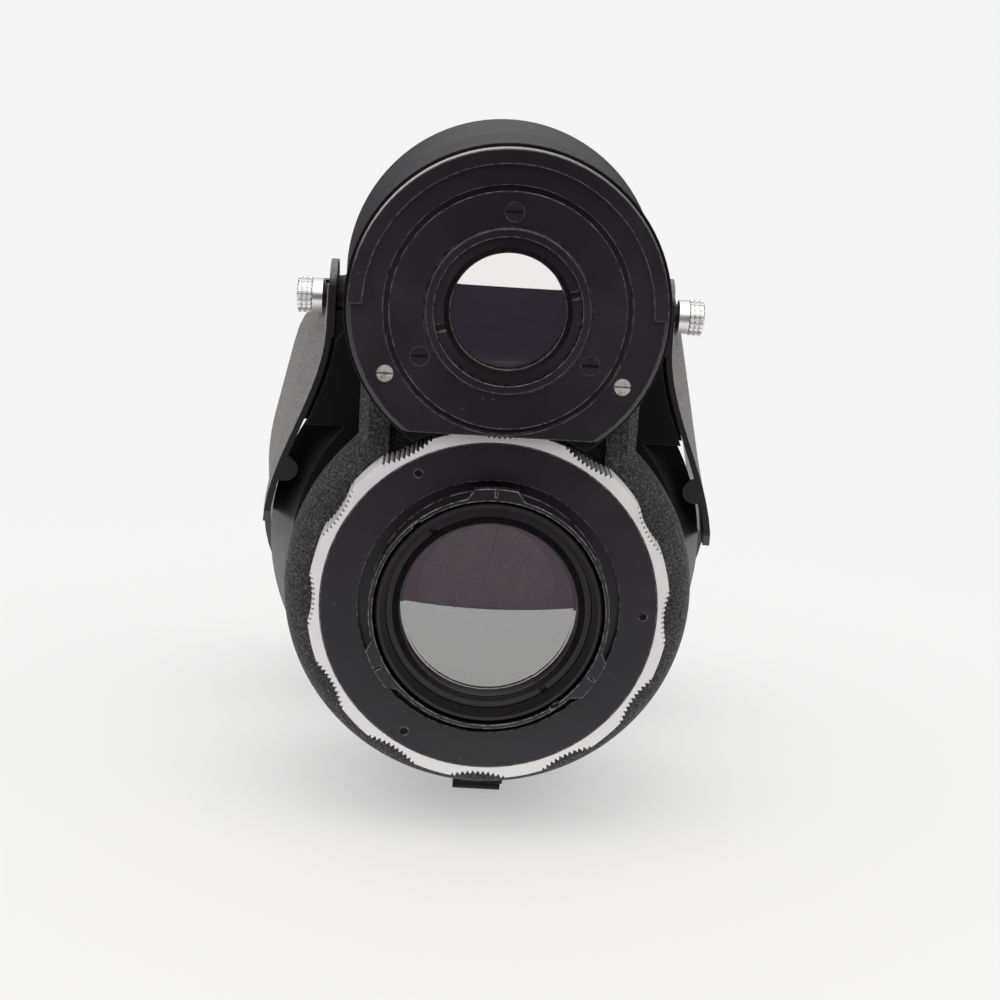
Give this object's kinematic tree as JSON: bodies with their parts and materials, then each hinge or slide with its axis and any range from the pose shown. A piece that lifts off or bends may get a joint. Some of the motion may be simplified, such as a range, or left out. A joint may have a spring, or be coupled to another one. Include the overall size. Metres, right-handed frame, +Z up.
{
  "type": "twin lens unit for a twin lens reflex camera",
  "caption": "Interchangeable twin lens unit for a reflex camera: viewing lens above, taking lens with leaf shutter and bayonet lock ring below, with a flared sheet shade and thumb screws.",
  "frame": {"origin": "centre of the bayonet on the taking lens axis, in the plane of the mount flange", "axes": "+Z up from the taking lens to the viewing lens, +Y forward along the lens axes, +X to the right as seen from the mount side"},
  "size_m": [0.1128, 0.1314, 0.1451],
  "materials": {
    "satin_black": "smooth satin black paint on cast aluminium",
    "satin_sheet": "smooth satin black paint on bent sheet",
    "crinkle_black": "black crinkle paint on cast aluminium",
    "crinkle_sheet": "black crinkle paint on sheet",
    "anodised_black": "turned and black anodised, worn bright at the edges",
    "black_screw": "blackened steel",
    "chrome": "satin chrome plate",
    "steel": "turned steel",
    "coated_glass": "coated optical glass",
    "blade": "thin blackened spring steel",
    "bush": "black moulded bush"
  },
  "bodies": {
    "frame": {"front_housing": "satin_black", "rear_casting": "crinkle_black", "housing_screws": "steel", "viewing_plate": "anodised_black", "plate_screws": "steel", "viewing_clamp_ring": "anodised_black", "clamp_screws": "black_screw", "viewing_rear_cell": "anodised_black", "viewing_rear_ring": "anodised_black", "viewing_rear_glass": "coated_glass", "viewing_front_cell": "satin_black", "viewing_front_ring": "satin_black", "viewing_front_glass": "coated_glass", "lock_keeper": "steel", "keeper_screws": "steel", "taking_rear_cell": "anodised_black", "taking_rear_ring": "anodised_black", "taking_rear_glass": "coated_glass", "shutter_case": "satin_black", "shutter_face": "satin_black", "ring_plate": "chrome", "taking_front_cell": "satin_black", "taking_front_ring": "satin_black", "taking_front_glass": "coated_glass", "sync_socket": "chrome", "lens_shade": "crinkle_sheet", "thumb_bushes": "bush", "foot": "satin_sheet", "foot_screw": "steel"},
    "lock": {"lock_ring": "chrome", "lock_flange": "anodised_black", "bayonet_hub": "anodised_black", "flange_screws": "black_screw"},
    "left_thumb": {"left_thumb_screw": "chrome"},
    "right_thumb": {"right_thumb_screw": "chrome"},
    "cocking": {"cocking_lever": "chrome"},
    "release": {"release_lever": "chrome"},
    "speed": {"speed_ring": "steel"},
    "aperture": {"aperture_ring": "satin_black"},
    "drive": {"blade_ring": "steel"},
    "shutter_1": {"shutter_blade_1": "blade"},
    "shutter_2": {"shutter_blade_2": "blade"},
    "shutter_3": {"shutter_blade_3": "blade"},
    "shutter_4": {"shutter_blade_4": "blade"},
    "shutter_5": {"shutter_blade_5": "blade"},
    "iris_1": {"iris_blade_1": "blade"},
    "iris_2": {"iris_blade_2": "blade"},
    "iris_3": {"iris_blade_3": "blade"},
    "iris_4": {"iris_blade_4": "blade"},
    "iris_5": {"iris_blade_5": "blade"}
  },
  "joints": [
    {"name": "lock_turn", "type": "hinge", "parent": "frame", "child": "lock", "pos_m": [0, 0, 0], "axis": [0, -1, 0], "range_deg": [0, 40]},
    {"name": "left_thumb_turn", "type": "hinge", "parent": "frame", "child": "left_thumb", "pos_m": [-0.04, 0.0435, 0.055], "axis": [-1, 0, 0], "continuous": true},
    {"name": "right_thumb_turn", "type": "hinge", "parent": "frame", "child": "right_thumb", "pos_m": [0.04, 0.0435, 0.055], "axis": [1, 0, 0], "continuous": true},
    {"name": "cocking_swing", "type": "hinge", "parent": "frame", "child": "cocking", "pos_m": [0, 0.042, 0], "axis": [0, -1, 0], "range_deg": [0, 50], "stiffness_Nm_per_rad": 0.02},
    {"name": "release_swing", "type": "hinge", "parent": "frame", "child": "release", "pos_m": [0, 0.044, 0], "axis": [0, 1, 0], "range_deg": [0, 15], "stiffness_Nm_per_rad": 0.02},
    {"name": "speed_turn", "type": "hinge", "parent": "frame", "child": "speed", "pos_m": [0, 0.05, 0], "axis": [0, -1, 0], "range_deg": [-120, 120]},
    {"name": "aperture_turn", "type": "hinge", "parent": "frame", "child": "aperture", "pos_m": [0, 0.05, 0], "axis": [0, -1, 0], "range_deg": [0, 50]},
    {"name": "drive_turn", "type": "hinge", "parent": "frame", "child": "drive", "pos_m": [0, 0.0185, 0], "axis": [0, 1, 0], "range_deg": [0, 20]},
    {"name": "shutter_1_swing", "type": "hinge", "parent": "frame", "child": "shutter_1", "pos_m": [0.026, 0.0145, 0], "axis": [0, 1, 0], "range_deg": [0, 35]},
    {"name": "shutter_2_swing", "type": "hinge", "parent": "frame", "child": "shutter_2", "pos_m": [0.00803, 0.0145, 0.02473], "axis": [0, 1, 0], "range_deg": [0, 35]},
    {"name": "shutter_3_swing", "type": "hinge", "parent": "frame", "child": "shutter_3", "pos_m": [-0.02103, 0.0145, 0.01528], "axis": [0, 1, 0], "range_deg": [0, 35]},
    {"name": "shutter_4_swing", "type": "hinge", "parent": "frame", "child": "shutter_4", "pos_m": [-0.02103, 0.0145, -0.01528], "axis": [0, 1, 0], "range_deg": [0, 35]},
    {"name": "shutter_5_swing", "type": "hinge", "parent": "frame", "child": "shutter_5", "pos_m": [0.00803, 0.0145, -0.02473], "axis": [0, 1, 0], "range_deg": [0, 35]},
    {"name": "iris_1_swing", "type": "hinge", "parent": "frame", "child": "iris_1", "pos_m": [0.024, 0.022, 0], "axis": [0, -1, 0], "range_deg": [0, 28]},
    {"name": "iris_2_swing", "type": "hinge", "parent": "frame", "child": "iris_2", "pos_m": [0.00742, 0.022, 0.02283], "axis": [0, -1, 0], "range_deg": [0, 28]},
    {"name": "iris_3_swing", "type": "hinge", "parent": "frame", "child": "iris_3", "pos_m": [-0.01942, 0.022, 0.01411], "axis": [0, -1, 0], "range_deg": [0, 28]},
    {"name": "iris_4_swing", "type": "hinge", "parent": "frame", "child": "iris_4", "pos_m": [-0.01942, 0.022, -0.01411], "axis": [0, -1, 0], "range_deg": [0, 28]},
    {"name": "iris_5_swing", "type": "hinge", "parent": "frame", "child": "iris_5", "pos_m": [0.00742, 0.022, -0.02283], "axis": [0, -1, 0], "range_deg": [0, 28]}
  ],
  "couplings": [
    {"joint": "shutter_1_swing", "follows": "drive_turn", "ratio": 1.75},
    {"joint": "shutter_2_swing", "follows": "drive_turn", "ratio": 1.75},
    {"joint": "shutter_3_swing", "follows": "drive_turn", "ratio": 1.75},
    {"joint": "shutter_4_swing", "follows": "drive_turn", "ratio": 1.75},
    {"joint": "shutter_5_swing", "follows": "drive_turn", "ratio": 1.75},
    {"joint": "iris_1_swing", "follows": "aperture_turn", "ratio": 0.56},
    {"joint": "iris_2_swing", "follows": "aperture_turn", "ratio": 0.56},
    {"joint": "iris_3_swing", "follows": "aperture_turn", "ratio": 0.56},
    {"joint": "iris_4_swing", "follows": "aperture_turn", "ratio": 0.56},
    {"joint": "iris_5_swing", "follows": "aperture_turn", "ratio": 0.56}
  ]
}
